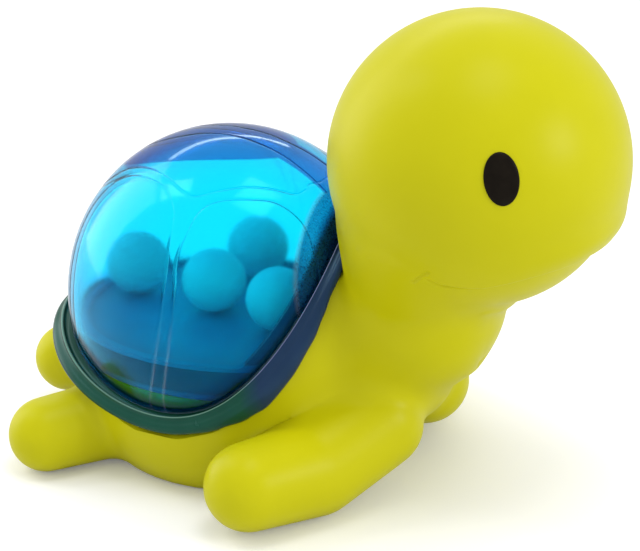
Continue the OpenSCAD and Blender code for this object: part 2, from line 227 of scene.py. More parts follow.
# The camera: its turn, rise and roll in degrees, what it looks at, how far off it is in metres, and its lens
CAMERA_TURN, CAMERA_RISE, CAMERA_ROLL = 25.64, 21.82, -0.77
CAMERA_TARGET = Vector((1.65, 0, 35.08))
CAMERA_AWAY = 0.460
FOCAL_LENGTH_PX = 2576.11
PICTURE_WIDTH_PX = 640
SENSOR_MM = 36

shell_place = Matrix.Translation(SHELL_MIDDLE) @ Matrix.Rotation(math.radians(-SHELL_TILT), 4, "Y")


# Working with Blender's tools


def put_down():
    """Leaves edit mode and lets go of all that is selected."""
    if bpy.context.mode != "OBJECT":
        bpy.ops.object.mode_set(mode="OBJECT")
    bpy.ops.object.select_all(action="DESELECT")


def pick_up(*pieces):
    """Selects these pieces alone, the first as the active one."""
    put_down()
    for piece in pieces:
        piece.select_set(True)
    bpy.context.view_layer.objects.active = pieces[0]
    return pieces[0]


@contextmanager
def editing(piece):
    """Edit mode, with the whole piece selected."""
    pick_up(piece)
    bpy.ops.object.mode_set(mode="EDIT")
    bpy.ops.mesh.select_all(action="SELECT")
    yield
    bpy.ops.object.mode_set(mode="OBJECT")


def divide_faces(piece, cuts, wanted):
    """Subdivides the faces for whose middles wanted is true."""
    pick_up(piece)
    bpy.ops.object.mode_set(mode="EDIT")
    bpy.ops.mesh.select_mode(type="FACE")
    bpy.ops.mesh.select_all(action="DESELECT")
    bpy.ops.object.mode_set(mode="OBJECT")
    for face in piece.data.polygons:
        face.select = wanted(face.center)
    bpy.ops.object.mode_set(mode="EDIT")
    bpy.ops.mesh.subdivide(number_cuts=cuts)
    bpy.ops.object.mode_set(mode="OBJECT")


def made_here():
    """The piece just added, with its place, turn and scale moved into its mesh."""
    piece = pick_up(bpy.context.object)
    bpy.ops.object.transform_apply(location=True, rotation=True, scale=True)
    return piece


def with_modifier(piece, kind, **settings):
    """Adds a modifier, sets it and applies it."""
    pick_up(piece)
    made = piece.modifiers.new(kind.lower(), kind)
    for key, value in settings.items():
        setattr(made, key, value)
    bpy.ops.object.modifier_apply(modifier=made.name)


def cut_away(piece, cutter):
    """Takes the cutter's solid off the piece, and the cutter away."""
    with_modifier(piece, "BOOLEAN", object=cutter, operation="DIFFERENCE", solver="EXACT")
    bpy.data.objects.remove(cutter)


def ball(middle, radius, segments=64, scale=(1, 1, 1)):
    put_down()
    bpy.ops.mesh.primitive_uv_sphere_add(segments=segments, ring_count=segments // 2, radius=radius,
                                         location=middle, scale=scale)
    return made_here()


def taper(start, start_r, end, end_r):
    """A straight tapered length between two points."""
    start, end = Vector(start), Vector(end)
    way = end - start
    put_down()
    bpy.ops.mesh.primitive_cone_add(
        vertices=64, radius1=start_r, radius2=end_r, depth=way.length,
        location=(start + end) / 2, rotation=way.to_track_quat("Z", "Y").to_euler())
    return made_here()


def limb(stops, side=1):
    """Balls and tapers along the stops, each given as (place, radius), on one side of the toy."""
    stops = [((x, side * y, z), radius) for (x, y, z), radius in stops]
    pieces = [ball(place, radius) for place, radius in stops]
    pieces += [taper(*first, *second) for first, second in zip(stops, stops[1:])]
    return pieces


def lathe(name, columns, profile):
    """A closed piece whose outline at each bearing is the list of points that profile gives.

    Each point keeps how far along its outline it is, for finishes that follow the section.
    """
    rows = len(profile(0.0)) - 1
    outlines = [profile(2 * math.pi * (i % columns) / columns) for i in range(columns + 1)]
    put_down()
    bpy.ops.mesh.primitive_grid_add(x_subdivisions=columns, y_subdivisions=rows, size=1)
    piece = bpy.context.object
    piece.name = name
    along = piece.data.attributes.new("along", "FLOAT", "POINT")
    for i, point in enumerate(piece.data.vertices):
        across, share = point.co.x + 0.5, point.co.y + 0.5
        along.data[i].value = share
        point.co = outlines[round(across * columns)][round(share * rows)]
    with editing(piece):
        bpy.ops.mesh.remove_doubles(threshold=ONE_POINT)
        bpy.ops.mesh.normals_make_consistent(inside=False)
    return piece


def finish_piece(name, piece, body, material, angle, node):
    """Takes the piece to metres, smooths its shading, gives it its body and its finish, and hides the node
    that it stands in for.
    """
    pick_up(piece)
    piece.name = name
    piece.data.name = name
    piece.data.transform(Matrix.Scale(MM, 4))
    bpy.ops.object.shade_smooth_by_angle(angle=math.radians(angle))
    piece.data.materials.clear()
    piece.data.materials.append(material)
    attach(piece, body)
    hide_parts(node)


# Lines and measures


def soft_step(low, high, value):
    """0 at low, 1 at high, and smooth between them."""
    t = min(max((value - low) / (high - low), 0), 1)
    return t * t * (3 - 2 * t)


def bump_at(distance, width):
    """1 at no distance, falling off smoothly over a width."""
    return math.exp(-(distance / width) ** 2)


def smooth_line(points, steps):
    """Points on a smooth line through the given ones."""
    last = len(points) - 1
    line = []
    for i in range(last):
        p = [Vector(points[min(max(i + k, 0), last)]) for k in (-1, 0, 1, 2)]
        for s in range(steps):
            t = s / steps
            line.append(0.5 * (2 * p[1] + (p[2] - p[0]) * t + (2 * p[0] - 5 * p[1] + 4 * p[2] - p[3]) * t * t
                               + (3 * p[1] - p[0] - 3 * p[2] + p[3]) * t ** 3))
    return line + [Vector(points[-1])]


def line_tree(points):
    """The points as a tree in which the nearest is found."""
    tree = kdtree.KDTree(len(points))
    for i, point in enumerate(points):
        tree.insert(point, i)
    tree.balance()
    return tree


def times(a, b):
    return Vector((a.x * b.x, a.y * b.y, a.z * b.z))


def over(a, b):
    return Vector((a.x / b.x, a.y / b.y, a.z / b.z))


def foot_rise(bearing):
    """Rise of the dome's foot at a bearing round the shell, in radians."""
    once, twice, thrice = FOOT_WAVES
    return math.radians(FOOT_MEAN + twice * math.cos(2 * bearing) + once * math.cos(bearing)
                        + thrice * math.cos(3 * bearing))


def egg_point(bearing, rise, out):
    """A point on the shell's egg, grown by out."""
    half = SHELL_HALF + Vector((out, out, out))
    flat = math.cos(rise)
    return shell_place @ Vector((half.x * flat * math.cos(bearing), half.y * flat * math.sin(bearing),
                                 half.z * math.sin(rise)))


def egg_run(bearing, start, end, steps, out):
    """Points on the grown egg from one rise to another."""
    return [egg_point(bearing, start + (end - start) * i / steps, out) for i in range(steps + 1)]


def on_shell(bearing, out, down):
    """A point that lies out from the dome and down from its foot."""
    return egg_point(bearing, foot_rise(bearing) - down / SHELL_HALF.z, out)


def rim_height(bearing):
    """How far down from the foot the rim reaches, at a bearing in radians."""
    turn = abs(math.degrees(math.remainder(bearing, 2 * math.pi)))
    for (a, high_a), (b, high_b) in zip(RIM_HEIGHTS, RIM_HEIGHTS[1:]):
        if turn <= b:
            return high_a + (high_b - high_a) * soft_step(a, b, turn)
    return RIM_HEIGHTS[-1][1]


def rim_spread(bearing):
    """How many times as wide as its section the rim is at a bearing."""
    return 1 + RIM_TAIL_OUT / RIM_OUT * soft_step(*RIM_TAIL_COSINES, math.cos(bearing))


def level_rise(bearing, out, z):
    """Rise at which the egg grown by out crosses a level."""
    along = (SHELL_HALF.x + out) * math.sin(math.radians(SHELL_TILT)) * math.cos(bearing)
    up = (SHELL_HALF.z + out) * math.cos(math.radians(SHELL_TILT))
    return math.atan2(up, along) - math.acos((z - SHELL_MIDDLE.z) / math.hypot(along, up))


def level_middle(z):
    """The point at a level on the line through the shell's middle and square to its foot."""
    up = z - SHELL_MIDDLE.z
    tilt = math.radians(SHELL_TILT)
    return shell_place @ Vector((up * math.sin(tilt), 0, up * math.cos(tilt)))


def ledge_rise(bearing, out, gap):
    """Rise of the ledge where the tub rests on the skin's lip, less a gap."""
    rim_bottom = foot_rise(bearing) - (rim_height(bearing) + gap) / SHELL_HALF.z
    return max(level_rise(bearing, out, FLOOR_Z - TUB_BAND - gap), rim_bottom)


# Tools for the finishes

WHITE = (1.0, 1.0, 1.0)
BLACK = (0.0, 0.0, 0.0)


def new_material(name):
    made = bpy.data.materials.new(name)
    made.use_nodes = True
    tree = made.node_tree
    return made, tree, tree.nodes["Principled BSDF"]


def add_node(tree, kind, **settings):
    """Adds a node, and sets its inputs and its other settings by name."""
    node = tree.nodes.new(kind)
    for key, value in settings.items():
        if key in node.inputs:
            node.inputs[key].default_value = value
        else:
            setattr(node, key, value)
    return node


def put_in(tree, value, socket):
    """Links a value that comes from a node, and sets a plain one."""
    if isinstance(value, bpy.types.NodeSocket):
        tree.links.new(value, socket)
    else:
        socket.default_value = value


def dress(tree, surface, finishes):
    """Gives a surface its finishes, each under the name of its socket."""
    for name, value in finishes.items():
        put_in(tree, value, surface.inputs[name])


def place_in(tree):
    return add_node(tree, "ShaderNodeTexCoord").outputs["Object"]


def parts_of(tree, vector):
    """The three parts of a vector, by name."""
    parts = add_node(tree, "ShaderNodeSeparateXYZ")
    tree.links.new(vector, parts.inputs["Vector"])
    return parts.outputs


def place_in_shell(tree):
    """The parts of the place, seen from the tilted shell."""
    shell = add_node(tree, "ShaderNodeMapping", vector_type="TEXTURE")
    shell.inputs["Location"].default_value = SHELL_MIDDLE * MM
    shell.inputs["Rotation"].default_value = (0, math.radians(-SHELL_TILT), 0)
    tree.links.new(place_in(tree), shell.inputs["Vector"])
    return parts_of(tree, shell.outputs["Vector"])


def kept_in(tree, name):
    """What each point keeps under a name."""
    return add_node(tree, "ShaderNodeAttribute", attribute_name=name).outputs["Fac"]


def noise_of(tree, vector, scale, detail=2.0, roughness=0.5):
    made = add_node(tree, "ShaderNodeTexNoise", Scale=scale, Detail=detail, Roughness=roughness)
    tree.links.new(vector, made.inputs["Vector"])
    return made.outputs["Fac"]


def ramp_of(tree, value, stops):
    """A colour ramp over the value, its stops given as (place, colour)."""
    made = add_node(tree, "ShaderNodeValToRGB")
    ramp = made.color_ramp
    while len(ramp.elements) < len(stops):
        ramp.elements.new(0.5)
    for element, (place, colour) in zip(ramp.elements, stops):
        element.position = place
        element.color = (*colour, 1)
    tree.links.new(value, made.inputs["Fac"])
    return made.outputs["Color"]


def shades(tree, noise, dark, light):
    """Two near shades, mixed by a noise."""
    return ramp_of(tree, noise, [(0.3, dark), (0.7, light)])


def map_of(tree, value, clamp=True, **ends):
    """The value, taken from one range to another."""
    made = add_node(tree, "ShaderNodeMapRange", clamp=clamp)
    for name, end in ends.items():
        made.inputs[name.replace("_", " ").title()].default_value = end
    tree.links.new(value, made.inputs["Value"])
    return made.outputs["Result"]


def range_of(tree, value, low, high):
    """The value, spread from 0 and 1 over another range."""
    return map_of(tree, value, clamp=False, to_min=low, to_max=high)


def step_of(tree, value, low, high):
    """0 at low, 1 at high, in millimetres."""
    return map_of(tree, value, from_min=low * MM, from_max=high * MM)


def uneven(tree, at, scale, low, high):
    """A gloss that wanders between two values."""
    return range_of(tree, noise_of(tree, at, scale), low, high)


def math_of(tree, operation, *values):
    made = add_node(tree, "ShaderNodeMath", operation=operation)
    for value, socket in zip(values, made.inputs):
        put_in(tree, value, socket)
    return made.outputs[0]


def product_of(tree, first, *others):
    for other in others:
        first = math_of(tree, "MULTIPLY", first, other)
    return first


def mix_of(tree, share, first, second, **settings):
    """A mix of two colours, each given as numbers or as a socket."""
    made = add_node(tree, "ShaderNodeMix", data_type="RGBA", **settings)
    put_in(tree, share, made.inputs[0])
    for colour, socket in ((first, made.inputs[6]), (second, made.inputs[7])):
        put_in(tree, (*colour, 1) if isinstance(colour, tuple) else colour, socket)
    return made.outputs[2]


def bump_of(tree, height, strength, distance):
    made = add_node(tree, "ShaderNodeBump", Strength=strength, Distance=distance)
    tree.links.new(height, made.inputs["Height"])
    return made.outputs["Normal"]


# The finishes


def make_lime_vinyl():
    """Soft satin vinyl, a little uneven in colour and gloss, with a very fine grain."""
    made, tree, surface = new_material("lime_vinyl")
    at = place_in(tree)
    dress(tree, surface, {
        "Base Color": shades(tree, noise_of(tree, at, 45, 3), (0.585, 0.560, 0.002), (0.62, 0.590, 0.004)),
        "Roughness": uneven(tree, at, 180, 0.34, 0.40),
        "Normal": bump_of(tree, noise_of(tree, at, 2600, 3), 0.12, 0.00004),
        "Specular IOR Level": 0.14,
        "Subsurface Weight": 0.15,
        "Subsurface Radius": (0.0025, 0.0022, 0.0004),
        "Subsurface Scale": 1.0,
    })
    return made


def make_eye_black():
    """Smooth black print with hardly any gloss."""
    made, tree, surface = new_material("eye_black")
    at = place_in(tree)
    dress(tree, surface, {
        "Base Color": shades(tree, noise_of(tree, at, 500), (0.006, 0.004, 0.002), (0.010, 0.007, 0.004)),
        "Roughness": uneven(tree, at, 900, 0.32, 0.42),
        "Specular IOR Level": 0.08,
    })
    return made


def front_end(tree, shell):
    """1 on the dome's front end, whose edge is a curve round the neck."""
    bow = math_of(tree, "MULTIPLY_ADD", product_of(tree, shell["Y"], shell["Y"]), FROST_BOW / MM, shell["X"])
    edge = step_of(tree, bow, FROST_FROM - FROST_SOFT, FROST_FROM + FROST_SOFT)
    return product_of(tree, edge, step_of(tree, shell["Z"], *FROST_TOP))


def tint_with_painted_crown(tree, shell):
    """The clear tint, with a painted dark reflection in an oval on the crown and a strip in front of it, on
    the outside only.
    """
    offset = add_node(tree, "ShaderNodeCombineXYZ")
    start, end = -CROWN_MIDDLE / CROWN_REACH, (1 / MM - CROWN_MIDDLE) / CROWN_REACH
    put_in(tree, range_of(tree, shell["X"], start, end), offset.inputs["X"])
    put_in(tree, range_of(tree, shell["Y"], 0, 1 / MM / CROWN_BREADTH), offset.inputs["Y"])
    length = add_node(tree, "ShaderNodeVectorMath", operation="LENGTH")
    tree.links.new(offset.outputs["Vector"], length.inputs[0])
    away = length.outputs["Value"]
    inside = map_of(tree, away, from_min=1.015, from_max=0.985)
    aside = math_of(tree, "ABSOLUTE", shell["Y"])
    beside = step_of(tree, aside, CROWN_STRIP + CROWN_STRIP_SOFT, CROWN_STRIP - CROWN_STRIP_SOFT)
    strip = product_of(tree, beside, step_of(tree, shell["X"], *CROWN_STRIP_FROM))
    either = math_of(tree, "MAXIMUM", inside, strip)
    outside = ramp_of(tree, kept_in(tree, "along"), [(0.49, WHITE), (0.5, BLACK)])
    crown = product_of(tree, either, step_of(tree, shell["Z"], *CROWN_FOOT), outside)
    # painted dark reflection: the crown's oval and strip are coloured a darker blue
    dark_reflection = ramp_of(tree, away, [(0.0, (0.10, 0.15, 0.42)), (1.0, (0.03, 0.10, 0.38))])
    return mix_of(tree, crown, (0.96, 0.99, 1.0), dark_reflection)


def make_clear_blue():
    """Clear plastic, tinted all through, frosted at the front, with a painted dark reflection on the crown,
    painted shade at its foot and painted highlights along the grooves' lower ends.
    """
    made, tree, surface = new_material("clear_blue")
    absorbing = add_node(tree, "ShaderNodeVolumeAbsorption", Density=1650.0, Color=(0.0, 0.935, 0.9945, 1))
    tree.links.new(absorbing.outputs["Volume"], tree.nodes["Material Output"].inputs["Volume"])
    shell = place_in_shell(tree)
    along = kept_in(tree, "along")

    # the frosted front end
    frost = front_end(tree, shell)
    grain = noise_of(tree, place_in(tree), 2400, 3, 0.6)
    speckle = ramp_of(tree, grain, [(0.38, (0.01, 0.11, 0.26)), (0.62, (0.02, 0.24, 0.46))])
    rough = ramp_of(tree, grain, [(0.42, (0.25, 0.25, 0.25)), (0.6, (0.45, 0.45, 0.45))])
    tint = mix_of(tree, frost, tint_with_painted_crown(tree, shell), speckle)

    # the foot, with painted shade where it stands in the rim, and an end that no light gets through
    low, dark = (0.50, 0.50, 0.78), (0.03, 0.12, 0.10)
    foot = ramp_of(tree, along, [(0.458, WHITE), (0.486, low), (0.4955, dark), (0.5045, dark), (0.514, low),
                                 (0.542, WHITE)])
    shut = ramp_of(tree, along, [(0.4945, WHITE), (0.4955, BLACK), (0.5045, BLACK), (0.5055, WHITE)])

    # painted highlights: the grooves' lower ends are lighter, letting less light through
    groove = product_of(tree, kept_in(tree, "groove"), step_of(tree, shell["Z"], *PAINTED_GLEAM_LOW),
                        step_of(tree, shell["X"], *PAINTED_GLEAM_BACK))
    clear = range_of(tree, math_of(tree, "ADD", frost, groove), 1.0, 0.8)

    dress(tree, surface, {
        "Base Color": mix_of(tree, 1.0, tint, foot, blend_type="MULTIPLY"),
        "Roughness": mix_of(tree, frost, (0.10, 0.10, 0.10), rough),
        "Transmission Weight": product_of(tree, clear, shut),
        "IOR": 1.49,
        "Specular Tint": (0.08, 0.6, 1.0, 1),
    })
    return made


def make_rim_blue():
    """Deep satin plastic, teal towards the tail and navy towards the neck, where the navy is painted shade,
    with a painted highlight along the ridge.
    """
    made, tree, surface = new_material("rim_blue")
    at = place_in(tree)
    broad = noise_of(tree, at, 90)
    teal = shades(tree, broad, (0.005, 0.055, 0.030), (0.009, 0.075, 0.044))
    # painted shade: navy stands in for shade showing through the rim by the neck, and teal for the lime skin
    # showing through towards the tail
    navy = shades(tree, broad, (0.010, 0.024, 0.075), (0.016, 0.036, 0.105))
    forward = step_of(tree, place_in_shell(tree)["X"], *RIM_NAVY_FROM)
    # painted highlight: the ridge's crest is coloured lighter than the rest of the rim
    rows = RIM_STEPS * (len(RIM_SECTION) - 1) + 1
    places = [(RIM_STEPS * RIM_CREST + step) / rows for step in RIM_RIDGE_HIGHLIGHT_STEPS]
    ridge = ramp_of(tree, kept_in(tree, "along"), list(zip(places, [BLACK, WHITE, WHITE, BLACK])))
    edge = mix_of(tree, forward, (0.14, 0.28, 0.21), (0.22, 0.23, 0.42))
    dress(tree, surface, {
        "Base Color": mix_of(tree, ridge, mix_of(tree, forward, teal, navy), edge),
        "Roughness": uneven(tree, at, 400, 0.20, 0.30),
        "Specular IOR Level": 0.35,
        "Specular Tint": (0.4, 0.85, 0.9, 1),
    })
    return made


def make_tub_blue():
    """Blue tub: a satin floor with painted light that makes it lighter towards the tail, inside dark walls
    with a painted glow along their lower edge.
    """
    made, tree, surface = new_material("tub_blue")
    at = place_in(tree)
    parts = parts_of(tree, at)
    grain = noise_of(tree, at, 120)
    floor_here = product_of(tree, step_of(tree, parts["Z"], FLOOR_Z - 0.3, FLOOR_Z - 0.1),
                            step_of(tree, parts["Z"], FLOOR_Z + 1.4, FLOOR_Z + 1.0))
    # painted light: the floor is coloured lighter towards the tail
    floor = mix_of(tree, step_of(tree, parts["X"], 2, -34),
                   shades(tree, grain, (0.03, 0.13, 0.25), (0.04, 0.17, 0.30)),
                   shades(tree, grain, (0.04, 0.28, 0.48), (0.05, 0.32, 0.54)))
    edge_z = FLOOR_Z - TUB_BAND
    # painted glow: a brighter blue line along the wall's lower edge
    wall = mix_of(tree, step_of(tree, parts["Z"], edge_z + 1.3, edge_z + 0.7),
                  shades(tree, grain, (0.17, 0.016, 0.065), (0.21, 0.022, 0.085)), (0.02, 0.16, 0.30))
    dress(tree, surface, {
        "Base Color": mix_of(tree, floor_here, wall, floor),
        "Roughness": uneven(tree, at, 500, 0.35, 0.45),
    })
    return made


def make_matt_plastic(name, dark, light, roughness=(0.45, 0.6), milky=0.0):
    """Plain plastic with a fine grain, through which some light may wander."""
    made, tree, surface = new_material(name)
    at = place_in(tree)
    dress(tree, surface, {
        "Base Color": shades(tree, noise_of(tree, at, 200, 3), dark, light),
        "Roughness": uneven(tree, at, 600, *roughness),
        "Normal": bump_of(tree, noise_of(tree, at, 3000), 0.1, 0.00003),
        "Subsurface Weight": milky,
        "Subsurface Radius": (0.004, 0.004, 0.004),
        "Subsurface Scale": 1.0,
    })
    return made


lime_vinyl = make_lime_vinyl()
eye_black = make_eye_black()
clear_blue = make_clear_blue()
rim_blue = make_rim_blue()
tub_blue = make_tub_blue()
ball_white = make_matt_plastic("ball_white", (0.88, 0.94, 0.96), (0.92, 0.97, 0.99), milky=0.6)
squeaker_white = make_matt_plastic("squeaker_white", (0.78, 0.78, 0.74), (0.84, 0.84, 0.80))
reed_film = make_matt_plastic("reed_film", (0.56, 0.66, 0.72), (0.64, 0.74, 0.80), (0.2, 0.3))


# The vinyl skin


def mouth_rise(turn):
    """Rise of the mouth line at a turn from straight ahead, both in degrees."""
    turn = min(abs(turn), MOUTH_LINE[-1][0])
    for (a, rise_a), (b, rise_b) in zip(MOUTH_LINE, MOUTH_LINE[1:]):
        if turn <= b:
            return rise_a + (rise_b - rise_a) * (turn - a) / (b - a)
    return MOUTH_LINE[-1][1]


def on_head(turn, rise):
    """A point on the round of the head, from a turn and a rise in degrees."""
    turn, rise = math.radians(turn), math.radians(rise)
    flat = math.cos(rise)
    return HEAD_MIDDLE + Vector((flat * math.cos(turn), flat * math.sin(turn), math.sin(rise))) * HEAD_R


def smile_line():
    """Points of the smile's groove and of the mark that ends it on each cheek: (turn, rise, depth)."""
    line = []
    (mark_turn, mark_rise), (run_turn, run_rise) = CHEEK_MARK, CHEEK_MARK_RUN
    for side in (1, -1):
        for step in range(2 * MOUTH_END + 1):
            turn = step * 0.5
            depth = soft_step(*MOUTH_END_SOFT, turn) * (1 - MOUTH_END_DEPTH) + MOUTH_END_DEPTH
            line.append((side * turn, mouth_rise(turn), depth))
        for step in range(21):
            share = step / 20
            line.append((side * (mark_turn + run_turn * share), mark_rise + run_rise * share,
                         CHEEK_MARK_DEPTH))
    return line


def shape_face(skin):
    """Sets the lower jaw back under the mouth line, swells the lip above it and presses in the smile."""
    smile = smile_line()
    tree = line_tree([on_head(turn, rise) for turn, rise, _ in smile])
    divide_faces(skin, 2, lambda middle: tree.find(middle)[2] < SMILE_REACH)
    for point in skin.data.vertices:
        out = point.co - HEAD_MIDDLE
        if out.length < HEAD_R - FACE_T or out.z > 0:
            continue
        direction = out.normalized()
        turn = math.degrees(math.atan2(direction.y, direction.x))
        rise = math.degrees(math.asin(direction.z))
        below = math.radians(mouth_rise(turn) - rise) * HEAD_R
        move = -JAW_BACK * soft_step(*JAW_ENDS, abs(turn)) * soft_step(-JAW_SOFT, JAW_SOFT, below)
        if below < 0:
            move += LIP_SWELL * soft_step(*LIP_ENDS, abs(turn)) * bump_at(below + LIP_ABOVE, LIP_SOFT)
        _, nearest, distance = tree.find(on_head(turn, rise))
        move -= MOUTH_DEPTH * smile[nearest][2] * bump_at(distance, MOUTH_WIDTH)
        point.co = HEAD_MIDDLE + direction * (out.length + move)


def shell_pocket(bearing):
    """Outline of the space that the shell takes in the skin, with the lip left standing."""
    low = foot_rise(bearing) - (rim_height(bearing) + POCKET_GAP) / SHELL_HALF.z
    lip = max(ledge_rise(bearing, LIP_OUT, SEAT_GAP), low + LIP_LEAST)
    bottom = -math.radians(POCKET_BOTTOM)
    middle = shell_place @ Vector((0, 0, (SHELL_HALF.z + LIP_IN) * math.sin(bottom)))
    return (egg_run(bearing, math.pi / 2, low, 40, RIM_OUT * rim_spread(bearing) + POCKET_GAP)
            + egg_run(bearing, low, lip, 8, LIP_OUT) + egg_run(bearing, lip, bottom, 24, LIP_IN) + [middle])


def fill_folds(skin):
    """Rounds the folds where limbs and neck grow out of the body, and leaves the rest as it is."""
    sweeps = FOLD_SWEEPS
    for _ in range(FOLD_ROUNDS):
        old = [(point.co.copy(), point.normal.copy()) for point in skin.data.vertices]
        with_modifier(skin, "SMOOTH", factor=0.5, iterations=sweeps)
        for point, (place, normal) in zip(skin.data.vertices, old):
            near_head = (place - HEAD_MIDDLE).length - HEAD_R
            chin = soft_step(*CHIN_FORWARD, place.x)
            share = 1 - CHIN_SPARED * soft_step(*CHIN_NEAR_HEAD, near_head) * chin
            filled = max((point.co - place).dot(normal), 0) * share
            point.co = place + normal * (filled if place.z > BELLY_UP else 0)


def collar(bearing):
    """Outline of the collar that carries the round of the head down into the neck."""
    points = []
    for middle, half_length, half_width in COLLAR:
        out = Vector((half_length * math.cos(bearing), half_width * math.sin(bearing), 0))
        points.append(Vector(middle) + out)
    return [Vector(COLLAR[0][0])] + points + [Vector(COLLAR[-1][0])]


def oval(form, segments=96):
    middle, half = form
    return ball(middle, 1, segments, half)


def make_skin():
    """One moulding, blended from round forms, with a flat belly and seats for the shell and the squeaker."""
    parts = [ball(HEAD_MIDDLE, HEAD_R, 96)] + limb(NECK)
    parts += [oval(NECK_OVAL), lathe("collar", 96, collar), oval(CHIN_OVAL, 64)]
    parts += [ball(*CHEST), oval(TRUNK_OVAL)]
    seat = oval(((0, 0, 0), SHELL_HALF + Vector((SHELL_SEAT_OUT,) * 3)))
    seat.data.transform(shell_place)
    parts.append(seat)
    for side in (1, -1):
        parts += limb(FRONT_FLIPPER, side) + limb(REAR_FLIPPER, side)
    parts += limb(TAIL)
    for part in parts:
        with editing(part):
            bpy.ops.mesh.bisect(plane_co=(0, 0, 0), plane_no=(0, 0, 1), clear_inner=True, use_fill=True)
    skin = pick_up(*parts)
    bpy.ops.object.join()
    with_modifier(skin, "REMESH", mode="VOXEL", voxel_size=SKIN_GRAIN)
    with_modifier(skin, "SMOOTH", factor=0.5, iterations=8)
    fill_folds(skin)
    shape_face(skin)
    cut_away(skin, lathe("pocket", 144, shell_pocket))
    for radius, depth, middle_z in BELLY_HOLES:
        put_down()
        bpy.ops.mesh.primitive_cylinder_add(vertices=64, radius=radius, depth=depth,
                                            location=(SQUEAKER_X, 0, middle_z))
        cut_away(skin, bpy.context.object)
    with editing(skin):
        bpy.ops.mesh.dissolve_degenerate(threshold=SLIVER)
    finish_piece("turtle_skin", skin, "toy", lime_vinyl, 40, "body_skin")


def make_eye(name, side, node):
    """A thin black oval with a soft edge, on the round of the head."""
    turn = (Matrix.Rotation(math.radians(EYE_TURN * side), 4, "Z")
            @ Matrix.Rotation(math.radians(-EYE_RISE), 4, "Y")
            @ Matrix.Rotation(math.radians(-EYE_LEAN * side), 4, "X"))
    edge = EYE_EDGE + [(share, EYE_SUNK) for share, _ in reversed(EYE_EDGE)]

    def outline(bearing):
        points = []
        for share, lift in edge:
            y, z = share * EYE_HALF[0] * math.cos(bearing), share * EYE_HALF[1] * math.sin(bearing)
            r = HEAD_R + EYE_OFF + EYE_T * lift
            points.append(HEAD_MIDDLE + turn @ Vector((math.sqrt(r * r - y * y - z * z), y, z)))
        return points

    finish_piece(name, lathe(name, 96, outline), "toy", eye_black, 50, node)


# The shell and what is in it


def scute_marks():
    """Points along the scutes' lines on both sides, in the shell's own place."""
    marks = []
    for line in SCUTE_LINES:
        for along, degrees in smooth_line(line, SCUTE_STEPS):
            turn = math.radians(degrees)
            across = math.sqrt(max(1 - along * along, 0))
            for side in (1, -1):
                mark = Vector((along, side * across * math.sin(turn), across * math.cos(turn)))
                marks.append(times(mark, SHELL_HALF))
    return marks


def make_dome():
    """Clear dome with fine grooves between its scutes, which sag a little towards them."""
    rows = 64

    def outline(bearing):
        foot = foot_rise(bearing)
        return (egg_run(bearing, math.pi / 2, foot, rows, 0)
                + egg_run(bearing, foot, math.pi / 2, rows, -DOME_WALL))

    dome = lathe("dome", 180, outline)
    lines = line_tree(scute_marks())
    own = shell_place.inverted()
    inner_r = 1 - DOME_WALL / 2 / SHELL_HALF.y

    def by_grooves(point):
        """A point's direction on the egg, and how far a groove is from it, endlessly far on the inside."""
        egg = over(own @ point, SHELL_HALF)
        way = egg.normalized()
        near = lines.find(times(way, SHELL_HALF))[2] if egg.length > inner_r else math.inf
        return way, near

    for cuts, reach in GROOVE_ZONES:
        divide_faces(dome, cuts, lambda middle: by_grooves(middle)[1] < reach)

    # Each point keeps the painted highlight along the grooves, for the finish
    groove = dome.data.attributes.new("groove", "FLOAT", "POINT")
    for i, point in enumerate(dome.data.vertices):
        way, near = by_grooves(point.co)
        if near == math.inf:
            continue
        groove.data[i].value = GROOVE_PAINTED_GLEAM * bump_at(near, GROOVE_PAINTED_GLEAM_WIDTH)
        sink = GROOVE_DEPTH * bump_at(near, GROOVE_WIDTH) + SAG_DEPTH * math.exp(-near / SAG_WIDTH)
        point.co = shell_place @ (times(way, SHELL_HALF) - over(way, SHELL_HALF).normalized() * sink)
    finish_piece("shell_dome_clear", dome, "toy", clear_blue, 40, "shell_dome")


def make_rim():
    """Rounded bead with a thin ridge beside the dome, taller beside the shoulders and wider at the tail."""
    section = smooth_line(RIM_SECTION, RIM_STEPS)

    def outline(bearing):
        wide, high = rim_spread(bearing), rim_height(bearing) / RIM_H
        points = [on_shell(bearing, out * wide if out > 0 else out, down * high if down > 0 else down)
                  for out, down in section]
        return points + points[:1]

    finish_piece("shell_rim_bead", lathe("rim", 240, outline), "toy", rim_blue, 50, "shell_rim")


def make_tub():
    """Open tub with a level floor, a kerb, and a wall that steps out over the skin's lip."""
    steps = 12
    wall_out = LIP_IN - SEAT_GAP
    wall_in = wall_out - TUB_WALL

    def outline(bearing):
        up = TUB_UP_TAIL + (TUB_UP - TUB_UP_TAIL) * soft_step(*TUB_COSINES, math.cos(bearing))
        top = max(level_rise(bearing, LIP_OUT, FLOOR_Z + KERB_H), foot_rise(bearing) + up / SHELL_HALF.z)
        low = level_rise(bearing, wall_out, FLOOR_Z - TUB_BAND)
        ledge = ledge_rise(bearing, LIP_OUT, 0)
        step_up = max(ledge, low)
        floor_top = level_rise(bearing, wall_in, FLOOR_Z)
        points = [level_middle(FLOOR_Z - FLOOR_T)]
        points += [egg_point(bearing, level_rise(bearing, wall_in, z), wall_in)
                   for z in (FLOOR_Z - FLOOR_T, FLOOR_Z - TUB_BAND)]
        points += egg_run(bearing, low, step_up, steps, wall_out)
        points += egg_run(bearing, step_up, top, steps, LIP_OUT)
        for i in range(steps + 1):
            rise = top + (floor_top - top) * i / steps
            wide = soft_step(0, TUB_WALL / SHELL_HALF.z, rise - ledge)
            points.append(egg_point(bearing, rise, wall_in + (LIP_OUT - TUB_WALL - wall_in) * wide))
        return points + [level_middle(FLOOR_Z)]

    finish_piece("rattle_tub_blue", lathe("tub", 180, outline), "toy", tub_blue, 35, "rattle_tub")


